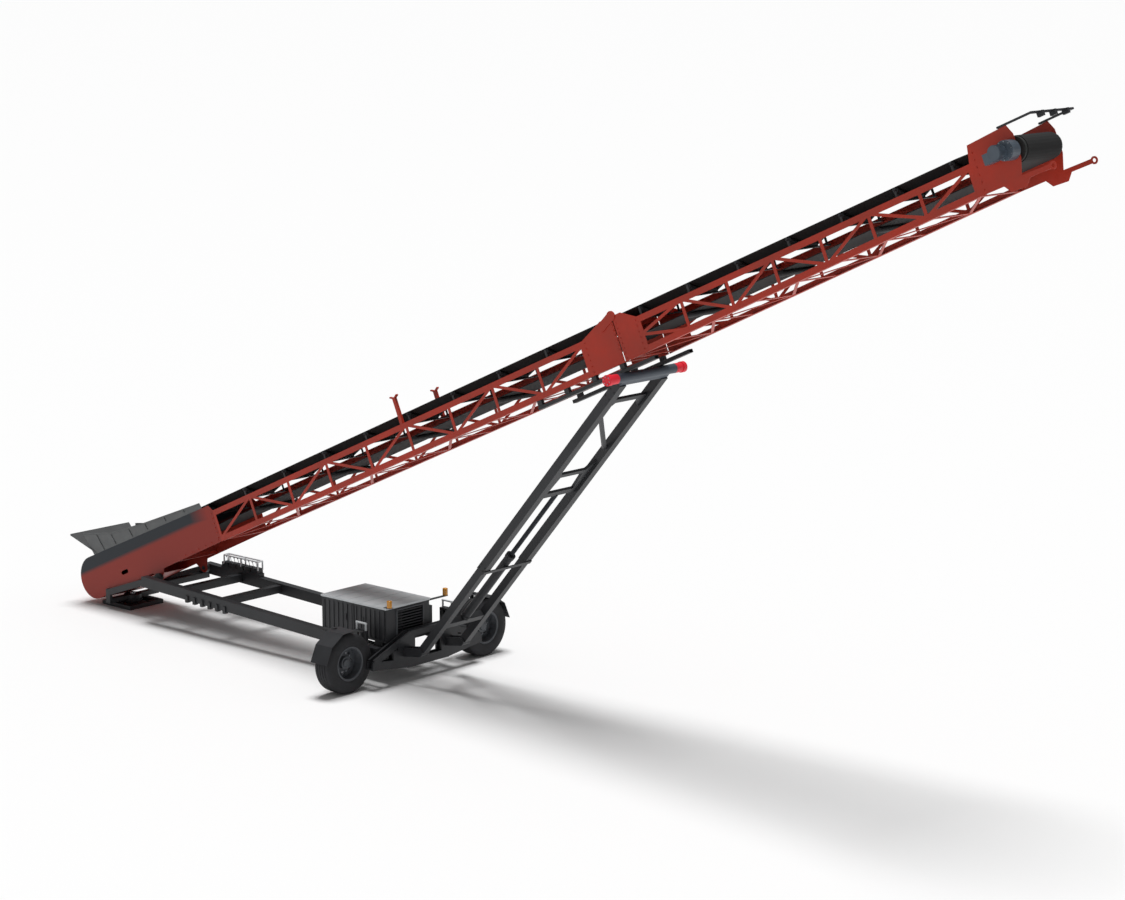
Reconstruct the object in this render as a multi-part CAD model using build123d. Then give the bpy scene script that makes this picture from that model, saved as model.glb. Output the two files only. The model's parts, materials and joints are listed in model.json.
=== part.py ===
from build123d import *
import math
import os

os.makedirs("parts", exist_ok=True)

# Millimetres. Origin on the ground under the slewing pin, +X to the head, +Y left, +Z up.

# Boom line, from the tail drum's centre (s along it, o square to it)
main_length = 14800
head_length = 8100
boom_length = main_length + head_length
boom_angle = 24.13
tail_x = -550
tail_z = 686
boom_half = 550
hinge_s = main_length
hinge_gap = 10
tail_end_s = 3980

# Truss sections
web_t = 8
chord_h = 100
chord_flange = 80
post_w = 60
brace_w = 50
truss_top = 70
main_bottom = -530
head_bottom = -420
main_bays = 9
head_bays = 7
lacing_t = 12
lacing_seat = 0.05
tube_y = 60
gusset_back = 770
gusset_front = 500
eye_r = 85
hinge_pin_r = 25
lug_t = 14

# Belt and rollers
belt_t = 12
belt_flat = 350
belt_half = boom_half - 120
belt_mid_o = 120
belt_edge_o = 230
hinge_o = belt_edge_o + belt_t + 5
drum_r = 188
drum_half = boom_half - 70
drum_wall = 10
drum_sides = 24
shaft_r = 45
roller_r = 45
roller_sides = 8
shaft_sides = 12
wheel_sides = 36
idler_pitch = 1150
idler_w = 40
run_gap = 1
belt_lift = 0.5

# Tail and hopper
nose_r = 417
nose_o = -165
side_t = 10
floor_end_s = 1500
luff_s = 1950
luff_o = -690
luff_pin_r = 40
lug_r = 90
pin_gap = 0.3
plate_top_slope = 0.0159
hopper_t = 8
rest_s = 9450
rest_top = 595

# Wheels
tyre_d = 1072
tyre_w = 385
rim_d = 571.5
tyre_gap = 0.3
shoulder = 42
hub_z = tyre_d / 2
hub_r = 110
stub_r = 45

# Chassis beams and cross tubes
beam_y = boom_half + 245
beam_w = 150
beam_h = 200
beam_wall = 12
beam_rear = (1330, 800)
cross_x = (2350, 3450, 6150)
cross_w = 140

# Kingpins, carriers and axle frame
wheel_x = 7750
king_x = wheel_x - 150
king_y = beam_y + 285
king_r = 45
king_boss_r = 80
king_z0 = hub_z - 36
king_z1 = hub_z + 394
yoke_t = 30
arm_w = 95
arm_h = 160
swing_gap = 24
wheel_y = king_y + king_boss_r + swing_gap + tyre_d / 2
axle_x0 = wheel_x + tyre_w / 2 + 27.5
axle_x1 = axle_x0 + 160
axle_low_z = hub_z - 196
axle_lift = 110
axle_high_z = hub_z + 330
axle_half = king_y + 290
frame_t = 40
beam_front = (axle_x0 - 4, hub_z + 19)

# Legs
foot_x = axle_x1 + 370
foot_z = hub_z + 84
leg_y = boom_half - 30
top_s = main_length - 150
top_o = -670
inner_w = 140
tube_t = 8
slide_gap = 1
outer_w = inner_w + 2 * (slide_gap + tube_t)
foot_pin_r = 35
cross_r = 80
cross_half = boom_half + 330
cap_w = 80
rail_seat = 0.3
rail_h = 60
rail_w = 100
rail_wall = 8
rail_s0 = main_length - 2200
rail_s1 = main_length + 550

# Power pack
box_x1 = axle_x0 - 30
box_x0 = box_x1 - 1620
box_y0 = -beam_y - 65
box_y1 = beam_y - 575
box_z0 = hub_z + 204
box_z1 = box_z0 + 630
box_t = 6
lid_h = 34
lid_over = 14
rib_pitch = 110
tank_in = 155
tank_w = 340
tank_h = 360

# Hose clamps along the right beam
clamps = 6
clamp_x = 2650
clamp_pitch = 210
clamp_w = 70
clamp_drop = 40
clamp_side = 25

# Slewing stand and the turret over it
stand_half = 420
stand_h = 80
sill_w = 120
disc_r = 190
turret_r = 170
turret_z0 = 110
turret_z1 = 200
slew_pin_r = 60
slew_pin_z1 = 230
spike_r = 30
arm_gap = 6
arm_t = 60
arm_deep = 120
drop_z1 = 330


def block(x0, x1, y0, y1, z0, z1):
    return Pos((x0 + x1) / 2, (y0 + y1) / 2, (z0 + z1) / 2) * Box(x1 - x0, y1 - y0, z1 - z0)


def round_x(x0, x1, y, z, r):
    return Pos((x0 + x1) / 2, y, z) * Rot(0, 90, 0) * Cylinder(r, x1 - x0)


def round_y(x, z, y0, y1, r):
    return Pos(x, (y0 + y1) / 2, z) * Rot(90, 0, 0) * Cylinder(r, y1 - y0)


def round_z(x, y, z0, z1, r):
    return Pos(x, y, (z0 + z1) / 2) * Cylinder(r, z1 - z0)


# A straight bar in the XZ plane from p to q, hollow where a wall is given
def bar(p, q, y0, y1, deep, wall=0):
    dx = q[0] - p[0]
    dz = q[1] - p[1]
    long = math.hypot(dx, dz)
    turn = math.degrees(math.atan2(dz, dx))
    solid = Box(long, y1 - y0, deep)
    if wall:
        solid = solid - Box(long + 2, y1 - y0 - 2 * wall, deep - 2 * wall)
    return Pos((p[0] + q[0]) / 2, (y0 + y1) / 2, (p[1] + q[1]) / 2) * Rot(0, -turn, 0) * solid


# A flat strip between two points of a sketch
def strip(p, q, width):
    dx = q[0] - p[0]
    dy = q[1] - p[1]
    turn = math.degrees(math.atan2(dy, dx))
    return Pos((p[0] + q[0]) / 2, (p[1] + q[1]) / 2) * Rot(0, 0, turn) * Rectangle(math.hypot(dx, dy), width)


# A filled outline through a few points of a sketch
def outline(*points):
    return make_face(Polyline(*points, close=True))


# A side view sketch (s or X across, o or Z up) made solid between y0 and y1
def side_plate(sketch, y0, y1):
    return extrude(Plane.XZ.offset(-y1) * sketch, amount=y1 - y0)


# An end view sketch (Y across, Z up) made solid between x0 and x1
def end_plate(sketch, x0, x1):
    return extrude(Plane.YZ.offset(x0) * sketch, amount=x1 - x0)


# A flat plate through points in space
def leaf(points, thick):
    return extrude(make_face(Polyline(*points, close=True)), amount=thick)


# The piece on the right, at negative Y
def right(piece):
    return mirror(piece, about=Plane.XZ)


def save(name, pieces):
    if not isinstance(pieces, (list, tuple)):
        pieces = [pieces]
    solids = []
    for piece in pieces:
        solids.extend(piece.solids())
    shape = solids[0] if len(solids) == 1 else Compound(children=solids)
    export_step(shape, "parts/" + name + ".step")


def save_boom(name, pieces):
    save(name, [boom * piece for piece in pieces])


boom = Pos(tail_x, 0, tail_z) * Rot(0, -boom_angle, 0)
rise = math.radians(boom_angle)


# World X and Z of a point of the boom
def world(s, o):
    return (tail_x + s * math.cos(rise) - o * math.sin(rise),
            tail_z + s * math.sin(rise) + o * math.cos(rise))


luff_x, luff_z = world(luff_s, luff_o)
top_x, top_z = world(top_s, top_o - cross_r)
leg_long = math.hypot(top_x - foot_x, top_z - foot_z)
leg_angle = math.degrees(math.atan2(top_z - foot_z, top_x - foot_x))
leg = Pos(foot_x, 0, foot_z) * Rot(0, -leg_angle, 0)

# Lattice side frames
main_s1 = hinge_s - hinge_gap
head_s0 = hinge_s + hinge_gap
head_s1 = boom_length - 750
plate_s0 = hinge_s - gusset_back
plate_s1 = hinge_s + gusset_front
main_step = (plate_s0 - tail_end_s) / main_bays
head_step = (head_s1 - plate_s1) / head_bays


# Height of the head section's lower edge
def head_low(s):
    return main_bottom + (head_bottom - main_bottom) * (s - head_s0) / (boom_length - head_s0)


def lattice(s0, s1, low, bays, first=0):
    top = truss_top - chord_h / 2
    frame = strip((s0, top), (s1, top), chord_h)
    frame += strip((s0, low(s0) + chord_h / 2), (s1, low(s1) + chord_h / 2), chord_h)
    step = (s1 - s0) / bays
    for i in range(bays + 1):
        s = min(max(s0 + i * step, s0 + post_w / 2), s1 - post_w / 2)
        frame += strip((s, low(s) + chord_h / 2), (s, top), post_w)
    for i in range(first, bays):
        a = s0 + i * step
        b = a + step
        if i % 2:
            frame += strip((a, top), (b, low(b) + chord_h / 2), brace_w)
        else:
            frame += strip((a, low(a) + chord_h / 2), (b, top), brace_w)
    return frame & (Pos((s0 + s1) / 2, 0) * Rectangle(s1 - s0, 4 * boom_half))


# One side frame with its chords' inward flanges
def side_frame(sketch, s0, s1, low0, low1):
    y_in = boom_half - web_t
    y_flange = boom_half - chord_flange
    web = side_plate(sketch, y_in, boom_half)
    top = block(s0, s1, y_flange, y_in, truss_top - web_t, truss_top)
    turn = math.degrees(math.atan2(low1 - low0, s1 - s0))
    long = math.hypot(s1 - s0, low1 - low0)
    bottom = Pos((s0 + s1) / 2, (y_flange + y_in) / 2, (low0 + low1) / 2 + web_t / 2)
    return web + top + bottom * Rot(0, -turn, 0) * Box(long, y_in - y_flange, web_t)


def main_low(s):
    return main_bottom


gusset_top = hinge_o - 5
main_sketch = lattice(tail_end_s, plate_s0, main_low, main_bays)
main_sketch += outline((plate_s0, main_bottom), (main_s1, main_bottom), (main_s1, gusset_top),
                       (main_s1 - 260, gusset_top), (plate_s0, truss_top))
main_sketch -= Pos(hinge_s, hinge_o) * Circle(eye_r + 6)

head_low_end = head_low(head_s1)
plate_low = head_low(plate_s1)
head_sketch = lattice(plate_s1, head_s1, head_low, head_bays, 1)
head_sketch += outline((head_s0, main_bottom), (plate_s1, plate_low), (plate_s1, truss_top),
                       (head_s0 + 190, gusset_top), (head_s0, gusset_top))

# Struts that fan out from the gusset over the head's first bay
fan = (plate_s1 - 20, (truss_top + plate_low) / 2)
for o in (truss_top - chord_h / 2, head_low(plate_s1 + head_step) + chord_h / 2):
    head_sketch += strip(fan, (plate_s1 + head_step, o), brace_w)
head_sketch += Pos(hinge_s, hinge_o) * RegularPolygon(eye_r, drum_sides)
head_sketch -= Pos(hinge_s, hinge_o) * Circle(hinge_pin_r + pin_gap)

lug_y0 = boom_half + run_gap
lug_y1 = lug_y0 + lug_t
hinge_lug = strip((hinge_s - 300, hinge_o - 120), (hinge_s, hinge_o), 150)
hinge_lug += Pos(hinge_s, hinge_o) * RegularPolygon(eye_r, drum_sides)
main_frame = side_frame(main_sketch, tail_end_s, main_s1 - 20, main_bottom, main_bottom)
main_frame += side_plate(hinge_lug, lug_y0, lug_y1)
main_frame += block(hinge_s - 380, hinge_s - 180, boom_half, lug_y0, hinge_o - 200, hinge_o - 60)
main_frame += round_y(hinge_s, hinge_o, boom_half - web_t - 10, lug_y1, hinge_pin_r)
head_frame = side_frame(head_sketch, head_s0 + 100, head_s1, head_low(head_s0 + 100), head_low_end)
save("main_truss_left", boom * main_frame)
save("main_truss_right", boom * right(main_frame))
save("head_truss_left", boom * head_frame)
save("head_truss_right", boom * right(head_frame))


# Lacing under the boom: cross flats joined by zigzag flats
def lacing(s0, s1, low0, low1, bays):
    y_in = boom_half - web_t
    step = (s1 - s0) / bays
    turn = math.degrees(math.atan2(low1 - low0, s1 - s0))
    sketch = strip((0, -y_in), (0, y_in), tube_y)
    for i in range(bays):
        y_a = (y_in - 60) * (1 if i % 2 else -1)
        sketch += strip((i * step, y_a), (i * step + step, -y_a), brace_w)
        sketch += strip((i * step + step, -y_in), (i * step + step, y_in), tube_y)
    return Pos(s0, 0, low0 + web_t + lacing_seat) * Rot(0, -turn, 0) * extrude(sketch, amount=lacing_t)


save("main_lacing", boom * lacing(tail_end_s + 40, main_s1 - 60, main_bottom, main_bottom, main_bays + 1))
lacing_s0 = head_s0 + 140
lacing_s1 = head_s1 - 40
save("head_lacing", boom * lacing(lacing_s0, lacing_s1, head_low(lacing_s0), head_low(lacing_s1), head_bays + 1))


# Belt: a troughed carrying run, a flat return run, and the turn round each drum
def belt_run(s0, s1, level0, level1):
    y1 = belt_flat / 2
    panels = None
    for side in (-1, 1):
        edge0 = (s0, side * belt_half, level0[1])
        edge1 = (s1, side * belt_half, level1[1])
        fold0 = (s0, side * y1, level0[0])
        fold1 = (s1, side * y1, level1[0])
        mid0 = (s0, 0, level0[0])
        mid1 = (s1, 0, level1[0])
        for points in ((edge0, fold0, fold1), (edge0, fold1, edge1), (fold0, mid0, mid1, fold1)):
            panel = extrude(make_face(Polyline(*points, close=True)), amount=belt_t, dir=(0, 0, 1))
            panels = panel if panels is None else panels + panel
    return panels


def wrap(s, side):
    ring = RegularPolygon(drum_r + belt_t, drum_sides) - RegularPolygon(drum_r, drum_sides)
    half = Pos(side * 400, 0) * Rectangle(800, 800)
    return side_plate(Pos(s, 0) * (ring & half), -belt_half, belt_half)


flat = (drum_r + belt_lift, drum_r + belt_lift)
trough = (belt_mid_o, belt_edge_o)
trough_s0 = 1300
trough_s1 = boom_length - 1000
carry = belt_run(0, trough_s0, flat, trough) + belt_run(trough_s0, main_s1, trough, trough) + wrap(0, -1)
save("belt_carry_main", boom * carry)
carry = belt_run(head_s0, trough_s1, trough, trough) + belt_run(trough_s1, boom_length, trough, flat)
save("belt_carry_head", boom * (carry + wrap(boom_length, 1)))
save("belt_return_main", boom * block(0, main_s1, -belt_half, belt_half, -drum_r - belt_t, -drum_r))
save("belt_return_head", boom * block(head_s0, boom_length, -belt_half, belt_half, -drum_r - belt_t, -drum_r))

# Drums on their shafts
ring = RegularPolygon(drum_r, drum_sides) - RegularPolygon(drum_r - drum_wall, drum_sides)
for name, s in (("tail_drum", 0), ("head_drum", boom_length)):
    drum = side_plate(Pos(s, 0) * ring, -drum_half, drum_half)
    for y in (-drum_half, drum_half - 20):
        drum += side_plate(Pos(s, 0) * RegularPolygon(drum_r - drum_wall / 2, drum_sides), y, y + 20)
    shaft = RegularPolygon(shaft_r, shaft_sides)
    drum += side_plate(Pos(s, 0) * shaft, -boom_half + side_t, boom_half - side_t)
    save(name, boom * drum)

# Idlers: a cross frame that holds one flat roller and two wing rollers
wing_rise = math.atan2(belt_edge_o - belt_mid_o, belt_half - belt_flat / 2)
wing_long = math.hypot(belt_edge_o - belt_mid_o, belt_half - belt_flat / 2)
idler_low = truss_top - 60


# A point on a wing roller's axis, t from its lower end
def wing_axis(side, t):
    y = belt_flat / 2 + t * math.cos(wing_rise) + roller_r * math.sin(wing_rise)
    return (side * y, belt_mid_o + t * math.sin(wing_rise) - roller_r * math.cos(wing_rise))


# A point of the face that a wing roller ends at, up or down from its axis
def wing_end(side, t, up):
    y, o = wing_axis(side, t)
    return (y - side * up * math.sin(wing_rise), o + up * math.cos(wing_rise))


def idler_frame(s):
    y_in = boom_half - (side_t if s < tail_end_s else web_t)
    top = idler_low + 16
    frame = Pos(0, (idler_low + top) / 2) * Rectangle(2 * y_in, top - idler_low)
    for side in (-1, 1):
        inner = belt_flat / 2 - 2
        low_up = wing_end(side, 10, 25)
        low_down = wing_end(side, 10, -30)
        frame += outline((side * inner, top - 4), (side * inner, low_up[1]), low_up, low_down, (low_down[0], top - 4))
        high_up = wing_end(side, wing_long - 10, 32)
        high_down = wing_end(side, wing_long - 10, -46)
        outer = side * (belt_half + 39)
        frame += outline((high_down[0], top - 4), high_down, high_up, (outer, high_up[1]), (outer, top - 4))
    return end_plate(frame, s - idler_w / 2, s + idler_w / 2)


def idler_rollers(s):
    end = belt_flat / 2 - 2
    shell = RegularPolygon(roller_r, roller_sides)
    rollers = [side_plate(Pos(s, belt_mid_o - roller_r) * shell, -end, end)]
    for side in (-1, 1):
        y, o = wing_axis(side, wing_long / 2)
        half = wing_long / 2 - 10
        wing = Pos(s, y, o) * Rot(side * math.degrees(wing_rise), 0, 0)
        rollers.append(wing * side_plate(shell, -half, half))
    return rollers


def row(s0, s1):
    count = round((s1 - s0) / idler_pitch)
    return [s0 + (s1 - s0) * i / count for i in range(count + 1)]


for name, places in (("main", row(trough_s0 + 100, hinge_s - 500)), ("head", row(hinge_s + 550, trough_s1 - 100))):
    save_boom("idler_frames_" + name, [idler_frame(s) for s in places])
    rollers = []
    for s in places:
        rollers.extend(idler_rollers(s))
    save_boom("rollers_" + name, rollers)


# Return rollers, each between two posts of the side frames
def return_row(s0, step, posts):
    shell = RegularPolygon(roller_r, roller_sides)
    y = boom_half - web_t
    o = -drum_r - belt_t - roller_r
    return [side_plate(Pos(s0 + i * step, o) * shell, -y, y) for i in posts]


save_boom("return_rollers_main", return_row(tail_end_s, main_step, range(1, main_bays, 2)))
save_boom("return_rollers_head", return_row(plate_s1, head_step, range(1, head_bays, 2)))


# Tail side plates with the rounded nose, the lacing slot and the luff lug
def plate_top(s):
    return nose_o + nose_r - plate_top_slope * s


side_view = outline((0, nose_o + nose_r), (tail_end_s - 90, plate_top(tail_end_s - 90)), (tail_end_s, truss_top),
                    (tail_end_s, main_bottom), (floor_end_s, main_bottom - 30), (0, nose_o - nose_r))
side_view += Pos(0, nose_o) * Circle(nose_r)
side_view -= Pos(960, -310) * SlotOverall(220, 80)
side_view += outline((luff_s - 190, main_bottom - 15), (luff_s + 190, main_bottom - 5), (luff_s + lug_r, luff_o),
                     (luff_s - lug_r, luff_o))
side_view += Pos(luff_s, luff_o) * RegularPolygon(lug_r, drum_sides)
side_view -= Pos(luff_s, luff_o) * Circle(luff_pin_r + pin_gap)
side = side_plate(side_view, boom_half - side_t, boom_half)
save_boom("tail_plates", [side, right(side)])

# Wrapped guard under the nose, floor and cross member of the tail
guard_half = boom_half - side_t
shell = Circle(nose_r) - Circle(nose_r - side_t)
shell = Pos(0, nose_o) * (shell & (Pos(-300, -100) * Rectangle(600, 800)))
shell += strip((0, nose_o - nose_r + side_t / 2), (floor_end_s, main_bottom - 30 + side_t / 2), side_t)
guard = side_plate(shell, -guard_half, guard_half)
tie_s = 2400
tie_o = main_bottom + 5
save_boom("tail_guard", [guard, block(tie_s, tie_s + tube_y, -guard_half, guard_half, tie_o, tie_o + tube_y)])

# Feed hopper: a flared rear panel and two long wings that stand on the side plates
mouth_y = boom_half - 5
rear_foot = (290, mouth_y, plate_top(290) - 4)
rear_top = (-90, boom_half + 180, 780)
rear = leaf([(rear_foot[0], -rear_foot[1], rear_foot[2]), rear_foot, rear_top,
             (rear_top[0], -rear_top[1], rear_top[2])], hopper_t)
rear = rear - side - right(side)
save("hopper_rear", boom * rear)


# A point of the left wing's plane, which leans outwards
def wing_point(s, o):
    return (s, mouth_y + 0.25 * (o - plate_top(s)), o)


wing_heights = ((200, 700), (950, 500), (2000, 400), (3700, 300))
wing_points = [wing_point(3700, plate_top(3700) - 4), wing_point(200, plate_top(200) - 4)]
wing_points += [wing_point(s, o) for s, o in wing_heights]
wing = leaf(wing_points, hopper_t) - side
save_boom("hopper_sides", [wing - rear, right(wing - rear)])

# Forked rests for the folded head section
fork_o = rest_top - 60
rest = strip((rest_s, truss_top), (rest_s, fork_o + 10), 70)
for way in (-1, 1):
    rest += strip((rest_s, fork_o), (rest_s + way * 90, rest_top - 12), 24)
rest = side_plate(rest, boom_half - 70, boom_half - 20)
save_boom("transport_rests", [rest, right(rest)])

# Rails that the leg top bears on
rail_y = boom_half - 120
rail_low = top_o + rail_seat
rail = block(rail_s0, rail_s1, rail_y - rail_w / 2, rail_y + rail_w / 2, rail_low, rail_low + rail_h)
rail -= block(rail_s0 - 1, rail_s1 + 1, rail_y - rail_w / 2 + rail_wall, rail_y + rail_w / 2 - rail_wall,
              rail_low + rail_wall, rail_low + rail_h - rail_wall)
for part in (0.05, 0.35, 0.65, 0.95):
    s = rail_s0 + part * (main_s1 - rail_s0)
    rail += block(s - 50, s + 50, rail_y + 30, rail_y + 100, rail_low + rail_h, main_bottom)
save_boom("slide_rails", [rail, right(rail)])

# Head: guard plates, lower arms with their eyes, bearings
end_s = boom_length + 100
arm_o = head_bottom - 20
eye_s = boom_length + 550
head_view = outline((head_s1, head_low_end), (boom_length, arm_o), (end_s, -150), (end_s, 210), (end_s - 70, 360),
                    (head_s1 + 60, 330), (head_s1, truss_top))
head_view += strip((boom_length - 200, head_bottom), (eye_s, arm_o), 70) + Pos(eye_s, arm_o) * RegularPolygon(60, shaft_sides)
head_view += outline((boom_length - 330, head_bottom), (boom_length + 150, head_bottom - 30),
                     (boom_length + 40, head_bottom - 150), (boom_length - 230, head_bottom - 130))
head_view -= Pos(eye_s, arm_o) * Circle(28)
plate = side_plate(head_view, guard_half, boom_half)
bearing = side_plate(Pos(boom_length, 0) * RegularPolygon(95, drum_sides), boom_half, boom_half + 45)
save_boom("head_plates", [plate + bearing, right(plate)])

# Drive on the right end of the head drum's shaft
gear_y = -boom_half - 200
motor = side_plate(Pos(boom_length, 0) * RegularPolygon(150, drum_sides), gear_y, -boom_half)
motor += side_plate(Pos(boom_length - 60, 0) * RegularPolygon(105, drum_sides), gear_y - 190, gear_y)
motor += block(boom_length - 400, boom_length, gear_y + 30, -boom_half - 40, -80, 80)
save("drive_motor", boom * motor)

# Spray bar on a frame before the head, with three nozzles
bar_s = boom_length + 500
bar_o = 390
spray_y = boom_half - side_t / 2
frame = strip((boom_length - 120, -spray_y), (bar_s, -spray_y), 36)
frame += strip((boom_length - 120, spray_y), (bar_s, spray_y), 36)
frame += strip((bar_s - 20, -spray_y - 18), (bar_s - 20, spray_y + 18), 40)
spray = Pos(0, 0, bar_o - 30) * extrude(frame, amount=30)
for y in (-0.6 * boom_half, 0, 0.6 * boom_half):
    spray += block(bar_s - 50, bar_s + 50, y - 30, y + 30, bar_o - 90, bar_o - 10)
save("spray_bar", boom * spray)


# Height of the chassis beams' centre line
def beam_z(x):
    part = (x - beam_rear[0]) / (beam_front[0] - beam_rear[0])
    return beam_rear[1] + part * (beam_front[1] - beam_rear[1])


# Chassis beams, the right one with its hose clamps
for name, way in (("right", -1), ("left", 1)):
    y = way * beam_y
    beam = bar(beam_rear, beam_front, y - beam_w / 2, y + beam_w / 2, beam_h, beam_wall)
    for i in range(clamps if way < 0 else 0):
        x = clamp_x + i * clamp_pitch
        side_y = y - beam_w / 2
        low = beam_z(x) - beam_h / 2
        beam += block(x - clamp_w / 2, x + clamp_w / 2, side_y - clamp_side, side_y, low - clamp_drop, low + 90)
        beam += block(x - clamp_w / 2, x + clamp_w / 2, side_y - clamp_side, side_y + 60, low - clamp_drop, low)
    save("chassis_beam_" + name, beam)

beam_in = beam_y - beam_w / 2
members = []
for x in cross_x:
    z = beam_z(x)
    members.append(block(x - cross_w / 2, x + cross_w / 2, -beam_in, beam_in, z - cross_w / 2, z + cross_w / 2))
save("chassis_cross_members", members)

# Rear head: arms with the luff pins, drop legs and the turret over the slewing pin
arm_y0 = boom_half + arm_gap
arm_y1 = arm_y0 + arm_t
arm_side = strip((0, drop_z1), (luff_x, luff_z), arm_deep) + Pos(luff_x, luff_z) * RegularPolygon(lug_r, drum_sides)
arm_side += outline((-60, turret_z0), (60, turret_z0), (60, drop_z1 + 60), (-60, drop_z1 + 60))
tie_x = beam_rear[0] + 70
tie_z1 = beam_rear[1] - 60
arm_tie_z = drop_z1 + (luff_z - drop_z1) * tie_x / luff_x
arm_side += outline((tie_x - 60, tie_z1 - 40), (tie_x + 60, tie_z1 - 40), (tie_x + 60, arm_tie_z),
                    (tie_x - 60, arm_tie_z))
arm = side_plate(arm_side, arm_y0, arm_y1)
arm += round_y(luff_x, luff_z, boom_half - side_t - 20, arm_y1, luff_pin_r)
head = arm + right(arm) + block(-60, 60, -arm_y1, arm_y1, turret_z0, turret_z1)
head += block(tie_x - 70, tie_x + 70, -beam_in, beam_in, tie_z1 - 110, tie_z1)
head += Pos(0, 0, turret_z0) * extrude(RegularPolygon(turret_r, drum_sides), amount=turret_z1 - turret_z0)
head = head - round_z(0, 0, turret_z0 - 1, turret_z1 + 1, slew_pin_r + pin_gap)
save("chassis_rear_head", head)

# Axle frame with the leg lugs
axle = strip((-leg_y, axle_low_z), (leg_y, axle_low_z), 150)
axle += strip((-leg_y + 90, axle_high_z), (leg_y - 90, axle_high_z), 100)
for way in (-1, 1):
    tip = (way * axle_half, axle_low_z + axle_lift)
    axle += strip((way * (leg_y - 60), axle_low_z), tip, 150)
    axle += strip((way * (axle_half - 50), axle_low_z + axle_lift + 50), (way * (leg_y - 90), axle_high_z), 110)
    axle += outline((way * (leg_y - 190), axle_low_z), (way * (leg_y + 230), axle_low_z + 30),
                    (way * (leg_y + 230), axle_high_z - 170), (way * (leg_y - 60), axle_high_z),
                    (way * (leg_y - 190), axle_high_z))
    axle += strip((way * beam_y, axle_low_z + 60), (way * beam_y, axle_low_z + 290), 150)
low_face = axle_low_z - 75
axle_top = axle_high_z + 40
frame = end_plate(axle, axle_x0, axle_x0 + frame_t) + end_plate(axle, axle_x1 - frame_t, axle_x1)
frame += block(axle_x0, axle_x1, -leg_y, leg_y, low_face, low_face + 20)
for way in (-1, 1):
    rail_end = (way * axle_half, axle_low_z + axle_lift - 65)
    rail_root = (way * (leg_y - 60), axle_low_z - 65)
    frame += end_plate(strip(rail_root, rail_end, 20), axle_x0, axle_x1)
frame += block(axle_x0, axle_x1, -leg_y + 120, leg_y - 120, axle_top - 20, axle_top)
for way in (-1, 1):
    y = way * leg_y
    lug = strip((axle_x1 - 10, foot_z - 60), (foot_x, foot_z), 150)
    lug += Pos(foot_x, foot_z) * RegularPolygon(75, shaft_sides)
    for edge in (-1, 1):
        y0 = y + edge * (inner_w / 2 + run_gap + 12)
        frame += side_plate(lug, y0 - 12, y0 + 12)
    frame += round_y(foot_x, foot_z, y - inner_w / 2 - 25, y + inner_w / 2 + 25, foot_pin_r)
save("axle_frame", frame)

# Kingpin bosses on short arms behind the axle frame
for name, way in (("right", -1), ("left", 1)):
    y = way * king_y
    boss = RegularPolygon(king_boss_r, drum_sides) - Circle(king_r + pin_gap)
    king = Pos(king_x, y, king_z0) * extrude(boss, amount=king_z1 - king_z0)
    king += block(king_x + king_r + 10, axle_x0, y - 60, y + 60, king_z0 + 40, king_z0 + 200)
    save("kingpin_arm_" + name, king)

# Power pack on the beams: ribbed housing, lid, radiator grille, engine block, tank, valves, beacons
wall_top = box_z1 - lid_h
housing = block(box_x0, box_x1, box_y0, box_y1, box_z0, wall_top)
housing -= block(box_x0 + box_t, box_x1 - box_t, box_y0 + box_t, box_y1 - box_t, box_z0 + box_t, wall_top + 1)
grille_y0 = box_y0 + 280
grille_y1 = box_y1 - 180
grille_z0 = box_z0 + 80
grille_z1 = wall_top - 60
housing -= block(box_x1 - 2 * box_t, box_x1 + 1, grille_y0, grille_y1, grille_z0, grille_z1)
ribs = int((box_x1 - box_x0 - 120) / rib_pitch)
for i in range(ribs + 1):
    x = box_x0 + 60 + i * (box_x1 - box_x0 - 120) / ribs
    housing += block(x - 20, x + 20, box_y0 - 12, box_y0, box_z0 + 40, wall_top - 40)
save("powerpack_housing", housing)
lid = block(box_x0 - lid_over, box_x1 + lid_over, box_y0 - lid_over, box_y1 + lid_over, wall_top, box_z1)
lid -= block(box_x0 + box_t, box_x1 - box_t, box_y0 + box_t, box_y1 - box_t, wall_top - 1, box_z1 - box_t)
save("powerpack_lid", lid)

slats = []
slat_pitch = 50
count = int((grille_z1 - grille_z0) / slat_pitch)
for i in range(count):
    z = grille_z0 + slat_pitch * (i + 0.5)
    slats.append(block(box_x1 - 2 * box_t, box_x1, grille_y0, grille_y1, z - 8, z + 8))
save("radiator_grille", slats)
engine_x1 = box_x1 - 460
save("engine_block", block(engine_x1 - 900, engine_x1, box_y0 + 260, box_y1 - 220, box_z0 + box_t, wall_top - 150))
pads = []
for x in (box_x0 + 150, box_x1 - 190):
    pads.append(block(x - 100, x + 100, box_y0, beam_y + 60, beam_z(x - 100) + beam_h / 2 + 1, box_z0))
save("powerpack_seats", pads)
tank = (box_x0 + 100, box_x1 - tank_w, beam_y - tank_in - tank_w, beam_y - tank_in, box_z0, box_z0 + tank_h)
hollow = [edge + (8 if i % 2 == 0 else -8) for i, edge in enumerate(tank)]
save("hydraulic_tank", block(*tank) - block(*hollow))
valves = []
for x in range(5):
    x0 = cross_x[0] - 520 + x * 210
    valves.append(block(x0, x0 + 180, beam_y - 70, beam_y + 70, beam_z(x0) + beam_h / 2 - 10, beam_rear[1] + 200))
bed = block(cross_x[0] - 540, cross_x[0] + 530, beam_y - 74, beam_y + 74, beam_z(cross_x[0] - 540), beam_rear[1] + 110)
valve_bank = bed
for valve in valves:
    valve_bank += valve
beam_top = bar(beam_rear, beam_front, beam_y - beam_w, beam_y + beam_w, beam_h)
save("valve_bank", valve_bank - beam_top)
lamp_r = 45
lamp_h = 120
lamps = []
shelf = 8
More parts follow.
